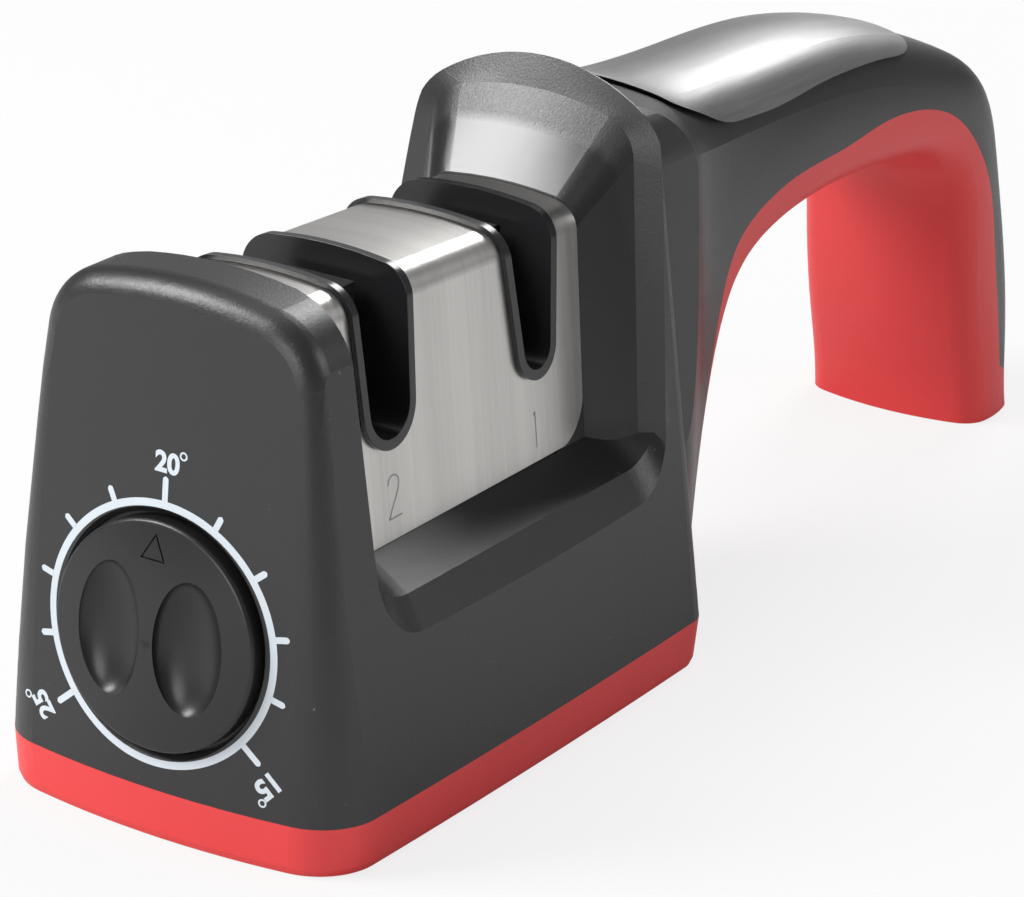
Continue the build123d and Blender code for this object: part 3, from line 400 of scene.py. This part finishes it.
# Tick: a bar along the radius whose outer end is a half circle, all ticks in one mesh
def dialTicks(values):
    allPoints, allFaces = [], []
    rows, columns = values["tickPoints"]
    side, along = np.meshgrid(np.linspace(-1, 1, rows), np.linspace(0, 1, columns), indexing="ij")
    straight = values["tickRound"]
    bend = np.clip((along - straight) / (1 - straight), 0, 1)
    half = values["tickWidth"] / 2
    width = half * np.sqrt(np.maximum(1 - bend ** 2, values["tickEnd"]))
    last = values["ticks"] - 1
    for index in range(values["ticks"]):
        turn = math.radians((index - last / 2) * values["pitch"])
        length = values["longTick"] if index in (0, last // 2, last) else values["shortTick"]
        reach = length + values["tickRoot"] - half
        out = np.where(along < straight, along / straight * reach, reach + bend * half)
        radial = values["outer"] - values["tickRoot"] + out
        x = radial * math.sin(turn) + side * width * math.cos(turn)
        y = radial * math.cos(turn) - side * width * math.sin(turn)
        allPoints.append(onFace(x, y, values["lift"]).reshape(-1, 3))
        allFaces.append(gridFaces(rows, columns) + index * rows * columns)
    return np.concatenate(allPoints), np.concatenate(allFaces)


# A word as flat points and faces, centred, scaled to a height
def flatWord(text, height, bold):
    curve = bpy.data.curves.new("word", "FONT")
    curve.body = text
    curve.size = 1.0
    curve.offset = bold
    curve.resolution_u = 4
    obj = bpy.data.objects.new("word", curve)
    bpy.context.collection.objects.link(obj)
    bpy.context.view_layer.update()
    mesh = bpy.data.meshes.new_from_object(obj.evaluated_get(bpy.context.evaluated_depsgraph_get()))
    points = np.empty(len(mesh.vertices) * 3)
    mesh.vertices.foreach_get("co", points)
    points = points.reshape(-1, 3)[:, :2]
    faces = [list(p.vertices) for p in mesh.polygons]
    bpy.data.objects.remove(obj)
    bpy.data.curves.remove(curve)
    low, high = points.min(0), points.max(0)
    return (points - (low + high) / 2) * (height / (high[1] - low[1])), faces


# Labels: each word stands on its radius at its own angle, and a small ring is the degree sign
def dialLabels(values):
    allPoints, allFaces, start = [], [], 0
    ringAngle = np.linspace(0, 2 * math.pi, values["degreePoints"], endpoint=False)
    ringRadius = values["degreeRadius"] + np.array([-0.5, 0.5]) * values["degreeWidth"]
    r, a = np.meshgrid(ringRadius, ringAngle, indexing="ij")
    ring = np.stack([r * np.cos(a), r * np.sin(a)], -1).reshape(-1, 2)
    ringFaces = gridFaces(2, values["degreePoints"], True).tolist()
    for text, (wordAt, wordOut, ringAt, ringOut) in values["labels"].items():
        word, wordFaces = flatWord(text, values["digitHeight"], values["bold"])
        for flat, faces, at, out in ((word, wordFaces, wordAt, wordOut), (ring, ringFaces, ringAt, ringOut)):
            turn = math.radians(at)
            x = flat[:, 0] * math.cos(turn) + (out + flat[:, 1]) * math.sin(turn)
            y = -flat[:, 0] * math.sin(turn) + (out + flat[:, 1]) * math.cos(turn)
            allPoints.append(onFace(x, y, values["lift"]))
            allFaces += [[i + start for i in face] for face in faces]
            start += len(flat)
    return np.concatenate(allPoints), allFaces


# A thin layer of print or engraving as a mesh that rides the housing
def addPrint(name, made, finish):
    points, faces = made
    mesh = bpy.data.meshes.new(name)
    mesh.from_pydata(points.tolist(), [], [list(map(int, f)) for f in faces])
    mesh.validate()
    mesh.materials.append(finishes[finish])
    obj = bpy.data.objects.new(name, mesh)
    bpy.context.collection.objects.link(obj)
    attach(obj, "housing")


addPrint("dialRing", dialRing(dial), "dialPrint")
addPrint("dialTicks", dialTicks(dial), "dialPrint")
addPrint("dialLabels", dialLabels(dial), "dialPrint")
print("dial printed")

# The plain figures engraved in the steel cover's near side: where each stands and its height in mm, and its
# strokes in shares of that height
figures = {
    "castFrom": -60.0,      # well clear of the cover's near side
    "lift": 0.015,
    "stroke": 0.24,
    "places": {"2": (30.6, 40.2, 5.6), "1": (63.7, 39.1, 4.9)},
    "strokes": {
        "2": [[(-0.22, 0.30), (-0.19, 0.40), (-0.10, 0.48), (0.0, 0.50), (0.11, 0.47), (0.19, 0.39),
               (0.21, 0.28), (0.17, 0.15), (0.06, -0.03), (-0.10, -0.24), (-0.25, -0.48)],
              [(-0.27, -0.48), (0.26, -0.48)]],
        "1": [[(0.0, 0.50), (0.0, -0.50)], [(-0.09, 0.42), (0.0, 0.49)]],
    },
}


# A stroke of even width along a row of points: each edge point is laid on the cover's near side by a ray
# along y, and stands a little proud
def sideFigures(values):
    allPoints, allFaces, start = [], [], 0
    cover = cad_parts["steel_cover"]
    toCover = cover.matrix_world.inverted()
    lines = [(place, line) for text, place in values["places"].items() for line in values["strokes"][text]]
    for (x, z, height), points in lines:
        line = np.array(points) * height
        step = np.gradient(line, axis=0)
        normal = np.stack([-step[:, 1], step[:, 0]], -1) / np.linalg.norm(step, axis=1, keepdims=True)
        sides = np.array([-0.5, 0.5])[:, None, None] * values["stroke"] * normal[None]
        flat = (line[None] + sides).reshape(-1, 2)
        for across, up in flat:
            origin = inRow(x + across, values["castFrom"], z + up)
            _, place, _, _ = cover.ray_cast(toCover @ origin, toCover.to_3x3() @ Vector((0, 1, 0)))
            allPoints.append(cover.matrix_world @ place - Vector((0, values["lift"] * mm, 0)))
        allFaces += (gridFaces(2, len(line)) + start).tolist()
        start += len(flat)
    return np.array(allPoints), allFaces


addPrint("coverFigures", sideFigures(figures), "engraving")
print("figures engraved")

floor = {"height": 0.0, "half": 3.0, "tone": 0.62, "rough": 0.9, "glow": 0.8}


# Plain pale floor that keeps its shadow and glows a little for the camera alone
def addFloor(values):
    half, z = values["half"], values["height"]
    corners = [(-half, -half, z), (half, -half, z), (half, half, z), (-half, half, z)]
    mesh = bpy.data.meshes.new("floor")
    mesh.from_pydata(corners, [], [(0, 1, 2, 3)])
    obj = bpy.data.objects.new("floor", mesh)
    bpy.context.collection.objects.link(obj)
    made = Finish("floor")
    made.put(Base_Color=colour([values["tone"]] * 3), Roughness=values["rough"])
    path = made.add("LightPath", out="Is Camera Ray")
    glow = made.add("Emission", None, {"Strength": 1.0, "Color": colour((1, 1, 1))})
    mix = made.tree.nodes.new("ShaderNodeMixShader")
    made.tree.links.new((path * values["glow"]).socket, mix.inputs[0])
    made.tree.links.new(made.shader.outputs[0], mix.inputs[1])
    made.tree.links.new(glow.socket, mix.inputs[2])
    out = made.tree.nodes["Material Output"]
    made.tree.links.new(mix.outputs[0], out.inputs["Surface"])
    mesh.materials.append(made.material)


backgrounds = {"seen": (1, 1, 1), "lighting": (0.20, 0.20, 0.21)}


# White behind the object for the camera, a dim even grey for everything else
def addWorld(values):
    world = bpy.data.worlds.new("studio")
    bpy.context.scene.world = world
    world.use_nodes = True
    tree = world.node_tree
    back = tree.nodes["Background"]
    path = tree.nodes.new("ShaderNodeLightPath")
    mix = tree.nodes.new("ShaderNodeMix")
    mix.data_type = "RGBA"
    mix.inputs[6].default_value = colour(values["lighting"])
    mix.inputs[7].default_value = colour(values["seen"])
    tree.links.new(path.outputs["Is Camera Ray"], mix.inputs[0])
    tree.links.new(mix.outputs[2], back.inputs["Color"])
    back.inputs["Strength"].default_value = 1.0


# Area lamps: where each stands and aims and its size in metres, and its power in watts
lamps = {
    "overhead": {"at": (0.05, 0.15, 0.85), "aim": (0.02, 0, 0.04), "size": (0.5, 0.5), "power": 0.9},
    "leftBack": {"at": (-0.50, 0.50, 0.66), "aim": (0, 0, 0.06), "size": (0.35, 0.50), "power": 10.0},
    "rightBack": {"at": (0.78, 0.14, 0.70), "aim": (0, 0, 0.05), "size": (0.35, 0.35), "power": 5.0},
    "backdrop": {"at": (0.85, 0.62, 0.42), "aim": (0, 0, 0.05), "size": (0.9, 0.6), "power": 0.4},
    "frontLow": {"at": (-0.84, -0.08, 0.28), "aim": (0, 0, 0.05), "size": (0.4, 0.4), "power": 2.3},
    "right": {"at": (0.40, -0.95, 0.50), "aim": (0.03, 0, 0.04), "size": (0.6, 0.4), "power": 2.9},
}


# Each lamp is a rectangle that faces its aim
def addLamps(values):
    for name, lamp in values.items():
        data = bpy.data.lights.new(name, "AREA")
        data.shape = "RECTANGLE"
        data.size, data.size_y = lamp["size"]
        data.energy = lamp["power"]
        obj = bpy.data.objects.new(name, data)
        obj.location = lamp["at"]
        obj.rotation_euler = (Vector(lamp["aim"]) - Vector(lamp["at"])).to_track_quat("-Z", "Y").to_euler()
        bpy.context.collection.objects.link(obj)


addFloor(floor)
addWorld(backgrounds)
addLamps(lamps)
bpy.context.scene.view_settings.view_transform = "Standard"
print("studio lit")
